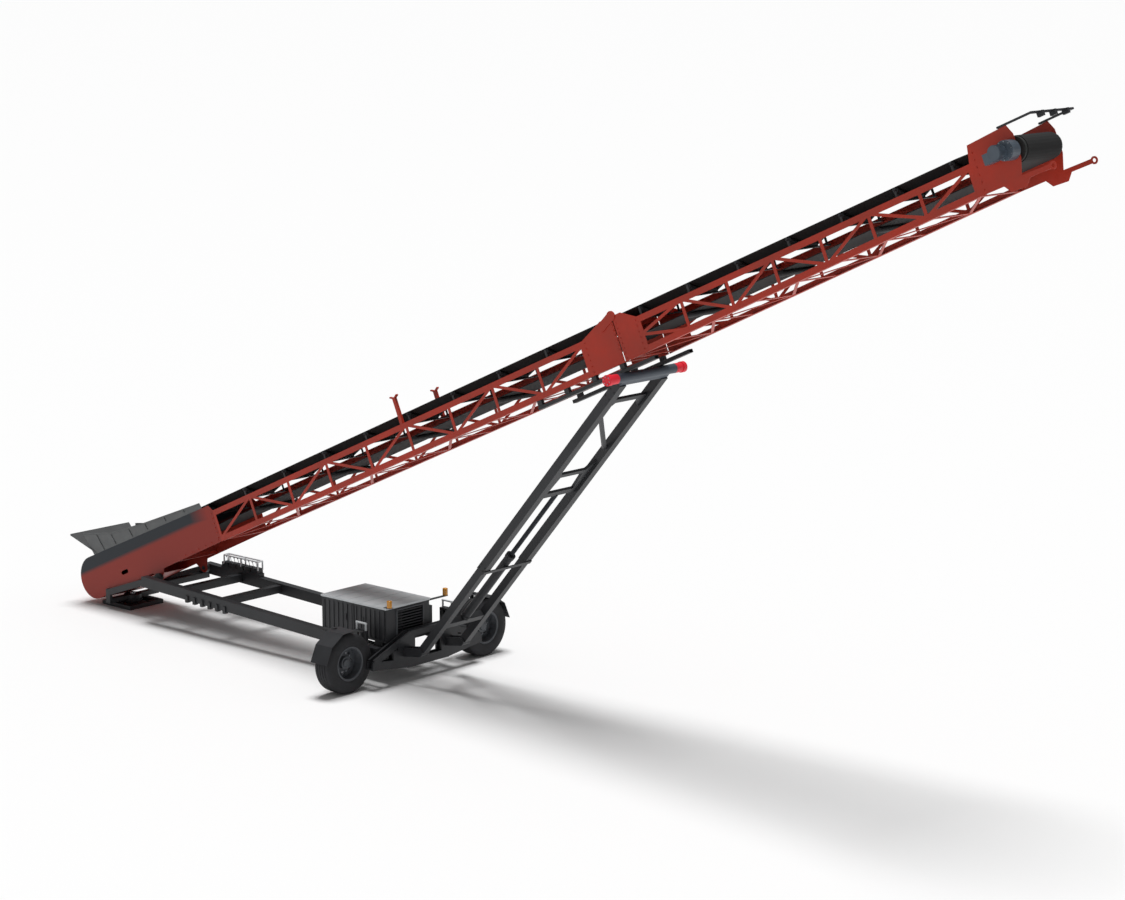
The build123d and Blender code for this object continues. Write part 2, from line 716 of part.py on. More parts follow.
lamps.append(block(box_x1 - 60, box_x1 + 90, box_y0, box_y0 + 100, box_z1, box_z1 + shelf))
lens = extrude(RegularPolygon(lamp_r, shaft_sides), amount=lamp_h)
lamps.append(Pos(box_x1 + 45, box_y0 + 45, box_z1 + shelf) * lens)
save("beacon_right", lamps[0] + lamps[1])
arm = block(box_x1 - 60, box_x1 - 10, box_y1 + lid_over, box_y1 + 490, box_z1 - 60, box_z1 - 40)
arm += block(box_x1 - 60, box_x1 - 10, box_y1, box_y1 + lid_over, box_z1 - 60, wall_top)
lamp = Pos(box_x1 - 35, box_y1 + 445, box_z1 - 40) * lens
save("beacon_left", arm + lamp)

# Slewing stand: skids, sills and the disc round its hollow pin
stand = Rectangle(2 * stand_half, 2 * stand_half)
stand -= Rectangle(2 * (stand_half - sill_w), 2 * (stand_half - sill_w))
stand += Rectangle(2 * stand_half, 160)
base = extrude(stand, amount=stand_h)
base += Pos(0, 0, 0) * extrude(RegularPolygon(disc_r, drum_sides), amount=turret_z0 - pin_gap)
base = base - round_z(0, 0, -1, turret_z0 + 1, slew_pin_r)
save("anchor_stand", base)
save("anchor_pin", round_z(0, 0, 0, slew_pin_z1, slew_pin_r) - round_z(0, 0, -1, slew_pin_z1 + 1, spike_r))


# Legs: inner tubes on the feet, outer tubes that slide over them
def box_tube(d0, d1, y, wide, thick):
    outer = block(d0, d1, y - wide / 2, y + wide / 2, -wide / 2, wide / 2)
    hollow = wide / 2 - thick
    return outer - block(d0 - 1, d1 + 1, y - hollow, y + hollow, -hollow, hollow)


def at(part):
    return part * leg_long


inner_end = at(0.60)
outer_start = at(0.315)
saddle_d = leg_long - cross_r - 50
low_cross = at(0.585)
inner_pieces = []
outer_frame = None
for way in (-1, 1):
    y = way * leg_y
    tube = box_tube(60, inner_end, y, inner_w, tube_t)
    eye = side_plate(RegularPolygon(inner_w / 2, drum_sides), y - inner_w / 2, y + inner_w / 2)
    eye += block(0, 80, y - inner_w / 2, y + inner_w / 2, -60, 60)
    inner_pieces.append(tube + eye - round_y(0, 0, y - 100, y + 100, foot_pin_r + pin_gap))
    outer = box_tube(outer_start, saddle_d, y, outer_w, tube_t)
    outer_frame = outer if outer_frame is None else outer_frame + outer
foot_cross = at(0.107)
save("leg_inner", leg * (inner_pieces[0] + inner_pieces[1] + block(foot_cross - 60, foot_cross + 60, -leg_y + 70,
                                                                   leg_y - 70, -60, 60)))
tie = block(outer_start, outer_start + 70, -leg_y - outer_w / 2, leg_y + outer_w / 2, -outer_w / 2 - 16, -outer_w / 2)
save("leg_outer", leg * (outer_frame + tie))

# Cross bars, corner gussets and the diagonal between the outer tubes
y_brace = leg_y - outer_w / 2
braces = strip((low_cross, -y_brace), (low_cross, y_brace), 110)
second_cross = at(0.655)
top_cross = at(0.917)
braces += strip((second_cross, -y_brace), (second_cross, y_brace), 80)
braces += strip((top_cross, -y_brace), (top_cross, y_brace), 90)
braces += strip((at(0.87), -y_brace + 20), (at(0.73), y_brace - 20), 70)
for way in (-1, 1):
    braces += outline((low_cross, way * y_brace), (at(0.69), way * y_brace), (second_cross, way * (y_brace - 170)),
                      (low_cross, way * (y_brace - 110)))
    braces += outline((top_cross, way * y_brace), (top_cross, way * (y_brace - 190)), (at(0.88), way * y_brace))
braces = braces & (Pos(leg_long / 2, 0) * Rectangle(leg_long, 2 * y_brace))
save("leg_bracing", leg * (Pos(0, 0, -25) * extrude(braces, amount=50)))

# Top beam with its red caps
top_beam = round_y(leg_long, 0, -cross_half, cross_half, cross_r)
top_beam += block(saddle_d, leg_long - 40, -leg_y - 75, leg_y + 75, -60, 60)
top_beam -= side_plate(Pos(leg_long, 0) * RegularPolygon(cross_r - 14, shaft_sides), -cross_half - 1, cross_half + 1)
save("leg_cross_beam", leg * top_beam)
cap = round_y(leg_long, 0, cross_half, cross_half + cap_w, cross_r + 12)
save("leg_end_caps", [leg * cap, leg * right(cap)])

# Lift cylinder between the legs
barrel_d0 = foot_cross + 60
barrel_d1 = at(0.355)
barrel = round_x(barrel_d0, barrel_d1, 0, 0, 75) - round_x(barrel_d0 + 330, barrel_d1 + 10, 0, 0, 42)
save("lift_barrel", leg * barrel)
save("lift_rod", leg * round_x(barrel_d1 - 368, low_cross - 55, 0, 0, 41))

# Wheels on their swivel carriers
tread = tyre_d / 2
rim_r = rim_d / 2
rim_half = tyre_w / 2 - 30
rim_wall = 14
hand_holes = 8
hand_r = 34
hand_pitch_r = 192


# A many-sided solid about X from radius r0 at x0 to r1 at x1
def frustum(x0, r0, x1, r1):
    lean = math.atan2((r0 - r1) * math.cos(math.pi / wheel_sides), x1 - x0)
    return Plane.YZ.offset(x0) * extrude(RegularPolygon(r0, wheel_sides), amount=x1 - x0, taper=math.degrees(lean))


tread_half = tyre_w / 2 - shoulder
tyre_shoulder = frustum(tread_half, tread, tyre_w / 2, tread - 110)
tyre = end_plate(RegularPolygon(tread, wheel_sides), -tread_half, tread_half) + tyre_shoulder
tyre += mirror(tyre_shoulder, about=Plane.YZ)
tyre -= end_plate(RegularPolygon(rim_r + tyre_gap, wheel_sides), -tyre_w, tyre_w)

# Pressed wheel: a rim barrel, a disc with hand holes and a hub
barrel_view = RegularPolygon(rim_r, wheel_sides) - RegularPolygon(rim_r - rim_wall, wheel_sides)
rim = end_plate(barrel_view, -rim_half, rim_half)
disc_view = RegularPolygon(rim_r - rim_wall / 2, wheel_sides)
for i in range(hand_holes):
    angle = 2 * math.pi * i / hand_holes
    hole = RegularPolygon(hand_r, roller_sides)
    disc_view -= Pos(hand_pitch_r * math.cos(angle), hand_pitch_r * math.sin(angle)) * hole
rim += end_plate(disc_view, -20, -4)
rim += end_plate(RegularPolygon(hub_r, drum_sides), -rim_half, 70)
rim -= round_x(-rim_half - 1, 71, 0, 0, stub_r + pin_gap)
for name, way in (("right", -1), ("left", 1)):
    y = way * wheel_y
    hub = Pos(wheel_x, y, hub_z)
    save("tyre_" + name, hub * tyre)
    save("rim_" + name, hub * rim)
    arm_x1 = king_x - king_boss_r - 8
    arm_x0 = arm_x1 - arm_w
    ky = way * king_y
    inner_y = way * (king_y - 65)
    outer_y = way * (wheel_y + 60)
    arm = block(arm_x0, arm_x1, min(inner_y, outer_y), max(inner_y, outer_y), hub_z - 100, hub_z - 100 + arm_h)
    arm += round_x(arm_x1 - 1, wheel_x + 60, y, hub_z, stub_r)
    yoke = outline((arm_x0, ky - 65), (king_x + 45, ky - 65), (king_x + 80, ky - 30), (king_x + 80, ky + 30),
                   (king_x + 45, ky + 65), (arm_x0, ky + 65))
    for z in (king_z0 - run_gap - yoke_t, king_z1 + run_gap):
        arm += Pos(0, 0, z) * extrude(yoke, amount=yoke_t)
    arm += block(arm_x0, arm_x1, ky - 65, ky + 65, king_z0 - run_gap - yoke_t, king_z1 + run_gap + yoke_t)
    arm += round_z(king_x, ky, king_z0 - 20, king_z1 + 20, king_r)
    save("wheel_carrier_" + name, arm)

    # Folded guard over the outer half of the tyre
    guard_r = tyre_d / 2 + 55
    folds = []
    for angle in (8, 40, 72, 100):
        swing = math.radians(angle)
        folds.append((y + way * guard_r * math.cos(swing), hub_z + guard_r * math.sin(swing)))
    shell = strip(folds[0], folds[1], 8) + strip(folds[1], folds[2], 8) + strip(folds[2], folds[3], 8)
    x0 = wheel_x - tyre_w / 2 - 10
    x1 = wheel_x + tyre_w / 2 + 10
    guard = end_plate(shell, x0, x1)
    y_near = min(y, y + way * 60)
    guard += block(arm_x1 - 12, x0, y_near, y_near + 60, hub_z - 100 + arm_h, hub_z + guard_r + 4)
    guard += block(x0 - 12, x0 + 60, y_near, y_near + 60, hub_z + guard_r - 8, hub_z + guard_r + 4)
    save("mudguard_" + name, guard)

print("luff pivot", luff_x, luff_z, "leg angle", leg_angle, "leg length", leg_long, "foot", foot_x, foot_z)
print("king", king_x, king_y, "wheel", wheel_x, wheel_y, "axle", axle_x0)
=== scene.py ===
import json
import math
import bmesh
import bpy
from mathutils import Matrix, Vector


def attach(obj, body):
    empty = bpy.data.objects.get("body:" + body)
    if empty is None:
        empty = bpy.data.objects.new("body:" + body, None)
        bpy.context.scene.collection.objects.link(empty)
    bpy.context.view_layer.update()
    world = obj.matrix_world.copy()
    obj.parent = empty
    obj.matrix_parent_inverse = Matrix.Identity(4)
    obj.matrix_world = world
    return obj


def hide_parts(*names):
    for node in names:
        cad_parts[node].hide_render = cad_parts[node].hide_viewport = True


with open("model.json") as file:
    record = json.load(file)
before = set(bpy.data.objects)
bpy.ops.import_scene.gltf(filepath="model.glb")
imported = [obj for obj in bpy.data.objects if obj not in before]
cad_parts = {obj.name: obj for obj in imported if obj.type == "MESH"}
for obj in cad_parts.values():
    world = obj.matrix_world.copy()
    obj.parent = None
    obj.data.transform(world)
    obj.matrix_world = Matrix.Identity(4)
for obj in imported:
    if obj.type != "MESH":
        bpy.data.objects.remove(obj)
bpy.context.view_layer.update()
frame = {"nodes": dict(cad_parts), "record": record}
nodes = frame["nodes"]
print("frame loaded", len(nodes), "nodes")

# Boom line: the tail drum's centre, the belt's slope, half the width over the plates, the fold hinge's place
boomLine = {"tail": (-0.55, 0.0, 0.686), "slope": math.radians(24.13), "half": 0.55, "hinge": 14.8}


def boomMatrix():
    return Matrix.Translation(boomLine["tail"]) @ Matrix.Rotation(-boomLine["slope"], 4, "Y")


# A point at s along the boom line, y across it and o above it
def boomPoint(s, y, o):
    return boomMatrix() @ Vector((s, y, o))


# Colours are sRGB hex values, turned to linear here
def fromHex(text):
    channels = [int(text[i:i + 2], 16) / 255 for i in (0, 2, 4)]
    linear = [c / 12.92 if c <= 0.04045 else ((c + 0.055) / 1.055) ** 2.4 for c in channels]
    return (*linear, 1.0)


# Adds one node, sets its values and joins its inputs
def addNode(tree, kind, values=None, links=None, **settings):
    node = tree.nodes.new(kind)
    for name, value in settings.items():
        setattr(node, name, value)
    for name, value in (values or {}).items():
        node.inputs[name].default_value = value
    for name, output in (links or {}).items():
        tree.links.new(output, node.inputs[name])
    return node


def perMetre(millimetres):
    return 1000.0 / millimetres


def newMaterial(name):
    material = bpy.data.materials.new(name)
    material.use_nodes = True
    return material, material.node_tree, material.node_tree.nodes["Principled BSDF"]


# Dust on a finish: how fine it is, where the noise turns from worn to clean, and what it does to the sheen
dust = {"detail": 6.0, "roughness": 0.62, "worn": 0.36, "clean": 0.62, "duller": 0.08, "shinier": 0.06}
grain = {"detail": 3.0, "depth": 0.001}


# A finish with dust patches of dirtSize millimetres and, where bumpSize is set, a fine relief of that size
def finishMaterial(name, colour, worn, roughness, metallic=0.0, dirtSize=900, bumpSize=0, bump=0.0,
                   gloss=0.5, ior=1.5):
    material, tree, shader = newMaterial(name)
    place = addNode(tree, "ShaderNodeTexCoord").outputs["Object"]
    patches = addNode(tree, "ShaderNodeTexNoise",
                      {"Scale": perMetre(dirtSize), "Detail": dust["detail"],
                       "Roughness": dust["roughness"]},
                      {"Vector": place}).outputs["Fac"]
    ramp = addNode(tree, "ShaderNodeValToRGB", links={"Fac": patches})
    low, high = ramp.color_ramp.elements
    low.position = dust["worn"]
    low.color = fromHex(worn)
    high.position = dust["clean"]
    high.color = fromHex(colour)
    tree.links.new(ramp.outputs["Color"], shader.inputs["Base Color"])
    spread = addNode(tree, "ShaderNodeMapRange",
                     {"To Min": roughness + dust["duller"], "To Max": roughness - dust["shinier"]},
                     {"Value": patches})
    tree.links.new(spread.outputs["Result"], shader.inputs["Roughness"])
    shader.inputs["Metallic"].default_value = metallic
    if not metallic:
        shader.inputs["IOR"].default_value = ior
    shader.inputs["Specular IOR Level"].default_value = gloss
    if bumpSize:
        fine = addNode(tree, "ShaderNodeTexNoise", {"Scale": perMetre(bumpSize), "Detail": grain["detail"]},
                       {"Vector": place})
        relief = addNode(tree, "ShaderNodeBump", {"Strength": bump, "Distance": grain["depth"]},
                         {"Height": fine.outputs["Fac"]})
        tree.links.new(relief.outputs["Normal"], shader.inputs["Normal"])
    return material


# Materials, named for the real finish; the lid's grey and the caps' red also carry painted light

# Sprayed polyurethane enamel on steel: an even brick red with a soft sheen and a little road dust
redEnamel = finishMaterial("redEnamel", "B8331F", "A43626", 0.45, gloss=0.3)
# The same enamel, painted brighter on the ends of the leg beam: painted light that lifts the caps out of the
# shade beneath them
capEnamelPaintedLight = finishMaterial("capEnamelPaintedLight", "F02A3C", "DC2A38", 0.4, gloss=0.3)
# Sprayed charcoal enamel on structural steel: dark, soft sheen
charcoalEnamel = finishMaterial("charcoalEnamel", "26272A", "303134", 0.46, gloss=0.4)
# Powder coated sheet steel of the power pack: a little orange peel breaks its reflections
housingPowder = finishMaterial("housingPowder", "2E2F32", "38393C", 0.5, bumpSize=6, bump=0.2, gloss=0.4)
# The same powder coat, painted pale grey on the lid and on guards and hoops: painted light, far paler than
# the real grey, that cancels the boom's shadow over the lid
lidPowderPaintedLight = finishMaterial("lidPowderPaintedLight", "DDE1E3", "CDD1D4", 0.5, bumpSize=6, bump=0.2)
# Hot rolled plate of the hopper, painted grey and scuffed by stone
hopperPaint = finishMaterial("hopperPaint", "393A3B", "434445", 0.6, dirtSize=300)
# The wings' paint, gone paler under dust
wingPaint = finishMaterial("wingPaint", "5C5E5F", "676969", 0.6, dirtSize=300)
# Three-ply rubber belting: matt near-black with a dusty bloom
beltRubber = finishMaterial("beltRubber", "0E0E0F", "171717", 0.85, dirtSize=700, ior=1.52)
# Moulded polyethylene idler rolls: dull dark grey
rollerPlastic = finishMaterial("rollerPlastic", "1E1F21", "2A2B2D", 0.6, ior=1.51)
# Turned and chromed steel of the stand's pin: bright, tight highlights
chromedSteel = finishMaterial("chromedSteel", "C9CBCE", "B8BABD", 0.22, metallic=1.0)
# Zinc plated bolts, nuts and valve levers: pale, slightly blue metal
zincSteel = finishMaterial("zincSteel", "A9ADB2", "8F9398", 0.38, metallic=1.0, dirtSize=60)
# Filled natural rubber of road tyres: matt black, greyer where dust sits
tyreRubber = finishMaterial("tyreRubber", "17181A", "26262A", 0.78, dirtSize=220, bumpSize=4, bump=0.3,
                            ior=1.52)
# Enamelled pressed steel of the disc wheels and of the grille's frame
wheelEnamel = finishMaterial("wheelEnamel", "4B4E53", "56595D", 0.42, gloss=0.4)
# Nitrided steel of the lift cylinder's rod: dark, with a dull metal sheen
nitridedSteel = finishMaterial("nitridedSteel", "2E3034", "3A3C40", 0.38, metallic=1.0, dirtSize=200)
# Grey cast iron of the engine
castIron = finishMaterial("castIron", "2A2A2A", "333333", 0.7, bumpSize=3, bump=0.4)
# Blue grey enamel of the bought-in motor and gearbox
motorEnamel = finishMaterial("motorEnamel", "56616D", "4A545F", 0.4)
# Slate blue enamel of the leg's top beam
beamEnamel = finishMaterial("beamEnamel", "3C4450", "485059", 0.42, gloss=0.4)
# Rubber lagging glued round the drums: matt and nearly black
laggingRubber = finishMaterial("laggingRubber", "222423", "2C2E2D", 0.75, ior=1.52)

lens = {"colour": "F2A21E", "roughness": 0.12, "ior": 1.585, "clear": 0.25}


# Moulded polycarbonate beacon lens: glossy and clear amber
def amberLens():
    material, _, shader = newMaterial("amberPolycarbonate")
    shader.inputs["Base Color"].default_value = fromHex(lens["colour"])
    shader.inputs["Roughness"].default_value = lens["roughness"]
    shader.inputs["IOR"].default_value = lens["ior"]
    shader.inputs["Transmission Weight"].default_value = lens["clear"]
    return material


# The fade runs in metres along the boom line and the band's edge in metres above it
twoTone = {"slate": "20262E", "red": "962B1D", "fadeFrom": 3.3, "fadeTo": 3.8, "bandFrom": 0.03,
           "bandTo": -0.05, "roughness": 0.45, "gloss": 0.3}


# Enamel of the tail plates: slate blue over the band's edge, red under it and past the fade
def tailEnamel():
    material, tree, shader = newMaterial("twoToneEnamel")
    place = addNode(tree, "ShaderNodeTexCoord").outputs["Object"]
    cosine = math.cos(boomLine["slope"])
    sine = math.sin(boomLine["slope"])
    tail = boomLine["tail"]
    along = addNode(tree, "ShaderNodeVectorMath", links={0: place}, operation="DOT_PRODUCT")
    along.inputs[1].default_value = (cosine, 0.0, sine)
    start = tail[0] * cosine + tail[2] * sine
    above = addNode(tree, "ShaderNodeVectorMath", links={0: place}, operation="DOT_PRODUCT")
    above.inputs[1].default_value = (-sine, 0.0, cosine)
    level = -tail[0] * sine + tail[2] * cosine
    fade = addNode(tree, "ShaderNodeMapRange",
                   {"From Min": start + twoTone["fadeFrom"], "From Max": start + twoTone["fadeTo"]},
                   {"Value": along.outputs["Value"]})
    band = addNode(tree, "ShaderNodeMapRange",
                   {"From Min": level + twoTone["bandFrom"], "From Max": level + twoTone["bandTo"]},
                   {"Value": above.outputs["Value"]})
    red = addNode(tree, "ShaderNodeMath", links={0: fade.outputs["Result"], 1: band.outputs["Result"]},
                  operation="MAXIMUM")
    blend = addNode(tree, "ShaderNodeMix", links={0: red.outputs["Value"]}, data_type="RGBA")
    blend.inputs[6].default_value = fromHex(twoTone["slate"])
    blend.inputs[7].default_value = fromHex(twoTone["red"])
    tree.links.new(blend.outputs[2], shader.inputs["Base Color"])
    shader.inputs["Roughness"].default_value = twoTone["roughness"]
    shader.inputs["Specular IOR Level"].default_value = twoTone["gloss"]
    return material


lensMaterial = amberLens()
slateEnamel = tailEnamel()

slotMaterials = {
    "boom_red": redEnamel,
    "bright_red": capEnamelPaintedLight,
    "chassis_grey": charcoalEnamel,
    "pack_grey": housingPowder,
    "lid_grey": lidPowderPaintedLight,
    "engine_iron": castIron,
    "hopper_grey": hopperPaint,
    "belt_black": beltRubber,
    "roller_grey": rollerPlastic,
    "bright_steel": chromedSteel,
    "tyre_black": tyreRubber,
    "rim_grey": wheelEnamel,
    "amber": lensMaterial,
}
# CAD nodes whose finish isn't their slot's
ownMaterial = {
    "tail_plates": slateEnamel,
    "tail_guard": slateEnamel,
    "drive_motor": motorEnamel,
    "tail_drum": laggingRubber,
    "head_drum": laggingRubber,
    "lift_rod": nitridedSteel,
    "beacon_right": charcoalEnamel,
    "beacon_left": charcoalEnamel,
    "leg_cross_beam": beamEnamel,
    "hopper_sides": wingPaint,
}


def dress(node, material):
    mesh = node.data
    mesh.materials.clear()
    mesh.materials.append(material)


for part in frame["record"]["subparts"]:
    node = nodes[part["node"]]
    dress(node, ownMaterial.get(part["node"], slotMaterials[part["material_slot"]]))
print("materials on the CAD nodes")


# A new object from a bmesh, riding on a body
def makePiece(name, mesh, material, body):
    data = bpy.data.meshes.new(name)
    mesh.to_mesh(data)
    mesh.free()
    data.materials.append(material)
    piece = bpy.data.objects.new(name, data)
    bpy.context.scene.collection.objects.link(piece)
    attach(piece, body)
    return piece


def shadeSmooth(piece, degrees=35):
    piece.data.polygons.foreach_set("use_smooth", [True] * len(piece.data.polygons))
    piece.data.set_sharp_from_angle(angle=math.radians(degrees))
    return piece


# Turns a closed outline of (radius, across) points about X, then moves it to a centre
def spinOutline(points, centre, steps):
    mesh = bmesh.new()
    ring = [mesh.verts.new((across, 0.0, radius)) for radius, across in points]
    edges = [mesh.edges.new((ring[i], ring[(i + 1) % len(ring)])) for i in range(len(ring))]
    bmesh.ops.spin(mesh, geom=ring + edges, cent=(0, 0, 0), axis=(1, 0, 0), angle=math.tau, steps=steps,
                   use_merge=True)
    bmesh.ops.remove_doubles(mesh, verts=mesh.verts, dist=0.00001)
    bmesh.ops.recalc_face_normals(mesh, faces=mesh.faces)
    bmesh.ops.translate(mesh, verts=mesh.verts, vec=centre)
    return mesh


# A round bar between two points
def addRod(mesh, start, end, radius, segments=12):
    axis = Vector(end) - Vector(start)
    turn = axis.to_track_quat("Z", "Y").to_matrix().to_4x4()
    place = Matrix.Translation((Vector(start) + Vector(end)) / 2) @ turn
    bmesh.ops.create_cone(mesh, cap_ends=True, segments=segments, radius1=radius, radius2=radius,
                          depth=axis.length, matrix=place)


# A flat bar between two points, wide towards up and thick across it
def addBar(mesh, start, end, wide, thick, up):
    axis = Vector(end) - Vector(start)
    zAxis = axis.normalized()
    xAxis = (Vector(up) - zAxis * zAxis.dot(Vector(up))).normalized()
    turn = Matrix((xAxis, zAxis.cross(xAxis), zAxis)).transposed().to_4x4()
    size = Matrix.Diagonal((wide, thick, axis.length, 1))
    place = Matrix.Translation((Vector(start) + Vector(end)) / 2) @ turn @ size
    bmesh.ops.create_cube(mesh, size=1.0, matrix=place)


# Road wheels: grooved round tyres in place of the plain ones, and the wheel nuts

# The sidewall runs from bead to shoulder as radius and half width
wheel = {"x": 7.75, "y": 1.72, "z": 0.536, "outer": 0.534, "steps": 96, "crownDrop": 0.004,
         "crownHalf": 0.15,
         "sidewall": ((0.288, 0.165), (0.318, 0.178), (0.36, 0.1915), (0.41, 0.1925), (0.47, 0.1865),
                      (0.509, 0.1705), (0.528, 0.1505)),
         "grooves": (-0.09, -0.03, 0.03, 0.09), "grooveDepth": 0.014, "grooveHalf": 0.007, "grooveFoot": 0.6}
nut = {"count": 10, "circle": 0.168, "radius": 0.017, "long": 0.05, "back": 0.012}


def wheelCentre(way):
    return Vector((wheel["x"], way * wheel["y"], wheel["z"]))


def tyreOutline():
    points = [(radius, -half) for radius, half in wheel["sidewall"]]
    edge = wheel["grooveHalf"]
    foot = edge * wheel["grooveFoot"]
    for place in wheel["grooves"]:
        crown = wheel["outer"] - wheel["crownDrop"] * (place / wheel["crownHalf"]) ** 2
        floor = crown - wheel["grooveDepth"]
        points += [(crown, place - edge), (floor, place - foot)]
        points += [(floor, place + foot), (crown, place + edge)]
    points += reversed(wheel["sidewall"])
    return points


for side, way in (("right", -1), ("left", 1)):
    centre = wheelCentre(way)
    tread = spinOutline(tyreOutline(), centre, wheel["steps"])
    tyre = makePiece("tyre_tread_" + side, tread, tyreRubber, "wheel_" + side)
    shadeSmooth(tyre, 30)
    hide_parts("tyre_" + side)
    nuts = bmesh.new()
    for i in range(nut["count"]):
        angle = math.tau * i / nut["count"]
        offset = Vector((-nut["back"], nut["circle"] * math.cos(angle), nut["circle"] * math.sin(angle)))
        turn = Matrix.Translation(centre + offset) @ Matrix.Rotation(math.radians(90), 4, "Y")
        bmesh.ops.create_cone(nuts, cap_ends=True, segments=6, radius1=nut["radius"], radius2=nut["radius"],
                              depth=nut["long"], matrix=turn)
    makePiece("wheel_nuts_" + side, nuts, zincSteel, "wheel_" + side)
print("wheels made")

# Idler rolls: smooth round shells in place of the many-sided ones

roll = {"radius": 0.045, "segments": 28}
# Capped ends of the wing rolls' shafts, which show as studs over the belt's edges
stud = {"radius": 0.026, "long": 0.05, "segments": 16, "clearOfHinge": 2.4, "leastLean": 0.15}


# One group of points for each solid of a CAD node
def looseParts(node):
    mesh = bmesh.new()
    mesh.from_mesh(node.data)
    bmesh.ops.remove_doubles(mesh, verts=mesh.verts, dist=0.00005)
    seen = set()
    groups = []
    for start in mesh.verts:
        if start in seen:
            continue
        seen.add(start)
        stack = [start]
        group = []
        while stack:
            vert = stack.pop()
            group.append(vert.co.copy())
            for edge in vert.link_edges:
                other = edge.other_vert(vert)
                if other not in seen:
                    seen.add(other)
                    stack.append(other)
        groups.append(group)
    mesh.free()
    return groups


def middleOf(points):
    return sum(points, Vector()) / len(points)


# The two ends of a roll: the middles of its points on each side across the boom
def rollEnds(points):
    middle = middleOf(points)
    left = [point for point in points if point.y > middle.y]
    right = [point for point in points if point.y <= middle.y]
    return middleOf(right), middleOf(left)


def makeRolls(nodeName, body):
    mesh = bmesh.new()
    for points in looseParts(nodes[nodeName]):
        start, end = rollEnds(points)
        addRod(mesh, start, end, roll["radius"], roll["segments"])
    piece = makePiece(nodeName + "_round", mesh, rollerPlastic, body)
    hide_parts(nodeName)
    return shadeSmooth(piece)


# Level rolls get no stud, nor do those that the folded head comes down on
def makeStuds(nodeName, body):
    mesh = bmesh.new()
    for points in looseParts(nodes[nodeName]):
        start, end = rollEnds(points)
        if abs((end - start).normalized().z) < stud["leastLean"]:
            continue
        low, high = sorted((start, end), key=lambda point: point.z)
        along = (boomMatrix().inverted() @ high).x
        if abs(along - boomLine["hinge"]) < stud["clearOfHinge"]:
            continue
        axis = (high - low).normalized()
        addRod(mesh, high, high + axis * stud["long"], stud["radius"], stud["segments"])
    return shadeSmooth(makePiece(nodeName + "_studs", mesh, charcoalEnamel, body))


for nodeName, body in (("rollers_main", "boom"), ("rollers_head", "head"), ("return_rollers_main", "boom"),
                       ("return_rollers_head", "head")):
    makeRolls(nodeName, body)
makeStuds("rollers_main", "boom")
makeStuds("rollers_head", "head")
print("rolls made")

# Hex bolts on both sides of the boom's plates: each row has its two ends as (s, o) and its count

bolt = {"radius": 0.013, "height": 0.010, "segments": 6}
mainRows = (((14.76, -0.48), (14.76, 0.10), 8), ((14.08, -0.48), (14.08, 0.02), 6),
            ((2.85, -0.49), (3.9, -0.48), 6), ((3.92, -0.44), (3.92, 0.02), 6))
headRows = (((14.85, -0.48), (14.85, 0.10), 8), ((15.26, -0.46), (15.26, 0.02), 6),
            ((22.25, -0.36), (22.25, 0.20), 6))


# A hex bolt's head that stands on a face and points outward
def addBolt(mesh, point, outward, radius, height):
    addRod(mesh, point, Vector(point) + Vector(outward) * height, radius, bolt["segments"])


def boltRow(mesh, start, end, count):
    for way in (-1, 1):
        for i in range(count):
            part = i / (count - 1)
            s = start[0] + (end[0] - start[0]) * part
            o = start[1] + (end[1] - start[1]) * part
            point = boomPoint(s, way * boomLine["half"], o)
            addBolt(mesh, point, (0, way, 0), bolt["radius"], bolt["height"])


for name, rows, body in (("main_plate_bolts", mainRows, "boom"), ("head_plate_bolts", headRows, "head")):
    bolts = bmesh.new()
    for start, end, count in rows:
        boltRow(bolts, start, end, count)
    makePiece(name, bolts, redEnamel, body)
print("bolts set")

# Hopper: rolled rims and the ribs that stiffen the wings, with places as (s, o) or (s, y, o)

hopper = {"wing": ((0.2, 0.7), (0.95, 0.5), (2.0, 0.4), (3.7, 0.3)), "mouth": 0.545, "foot": 0.252,
          "lean": 0.25, "slopeOfTop": 0.0159, "rearTop": (-0.09, 0.73, 0.78),
          "rearFoot": (0.29, 0.545, 0.247)}
wingRim = {"wide": 0.03, "thick": 0.022, "drop": 0.015, "out": 0.004}
wingRib = {"tops": ((0.55, 0.59), (0.95, 0.48), (1.5, 0.43), (2.0, 0.385), (2.6, 0.35), (3.2, 0.315)),
           "foot": 0.256, "wide": 0.012, "thick": 0.03, "out": 0.008}
rearRim = {"wide": 0.04, "thick": 0.024, "drop": 0.012, "corner": 0.02, "lift": 0.02}


def wingPoint(s, o, way, out):
    y = hopper["mouth"] + hopper["lean"] * (o - (hopper["foot"] - hopper["slopeOfTop"] * s)) + out
    return boomPoint(s, way * y, o)


rims = bmesh.new()
boomUp = boomMatrix().to_3x3() @ Vector((0, 0, 1))
for way in (-1, 1):
    corners = [wingPoint(s, o - wingRim["drop"], way, wingRim["out"]) for s, o in hopper["wing"]]
    for start, end in zip(corners, corners[1:]):
        addBar(rims, start, end, wingRim["wide"], wingRim["thick"], boomUp)
    for s, top in wingRib["tops"]:
        start = wingPoint(s, wingRib["foot"], way, wingRib["out"])
        end = wingPoint(s, top, way, wingRib["out"])
        addBar(rims, start, end, wingRib["wide"], wingRib["thick"], (0, way, 0))
topS, topY, topO = hopper["rearTop"]
footS, footY, footO = hopper["rearFoot"]
rearTops = [boomPoint(topS, way * topY, topO - rearRim["drop"]) for way in (-1, 1)]
addBar(rims, rearTops[0], rearTops[1], rearRim["wide"], rearRim["thick"], boomUp)
for way, top in zip((-1, 1), rearTops):
    addBar(rims, boomPoint(footS, way * footY, footO + rearRim["lift"]), top, rearRim["corner"],
           rearRim["corner"], boomUp)
makePiece("hopper_rims", rims, wingPaint, "boom")
print("hopper rimmed")

# Power pack: door seams and handles, the grille's frame and the lid's folds

